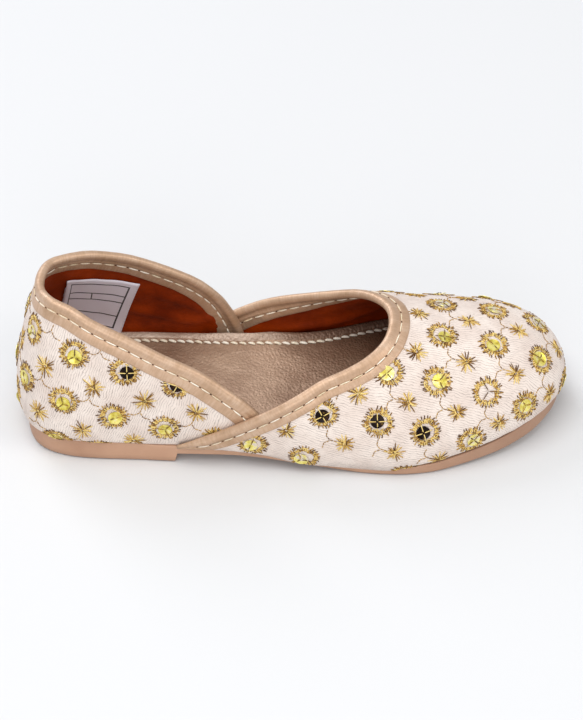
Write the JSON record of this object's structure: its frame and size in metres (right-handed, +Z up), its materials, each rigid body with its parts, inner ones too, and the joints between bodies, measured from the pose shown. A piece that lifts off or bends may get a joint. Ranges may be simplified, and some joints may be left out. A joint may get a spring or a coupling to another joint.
{
  "type": "mojari shoe",
  "caption": "Child's slip-on mojari for the right foot: round toe, low heel, quarter and lapped vamp with rolled bindings, in embroidered cloth over a moulded sole.",
  "frame": {"origin": "middle of the heel's flat lower face, on the floor", "axes": "+X to the toe, +Y to the shoe's left (the inner side of a right shoe), +Z up"},
  "size_m": [0.1784, 0.0696, 0.0567],
  "materials": {
    "cloth": "cream woven cloth with gold thread embroidery",
    "binding_leather": "beige-gold metallic leather, satin",
    "insole_leather": "rose-gold metallic leather, grained",
    "sole_rubber": "tan moulded, matt"
  },
  "bodies": {
    "root": {"outsole": "sole_rubber", "insole": "insole_leather", "upper_quarter": "cloth", "upper_vamp": "cloth", "quarter_binding": "binding_leather", "vamp_binding": "binding_leather"}
  },
  "joints": []
}
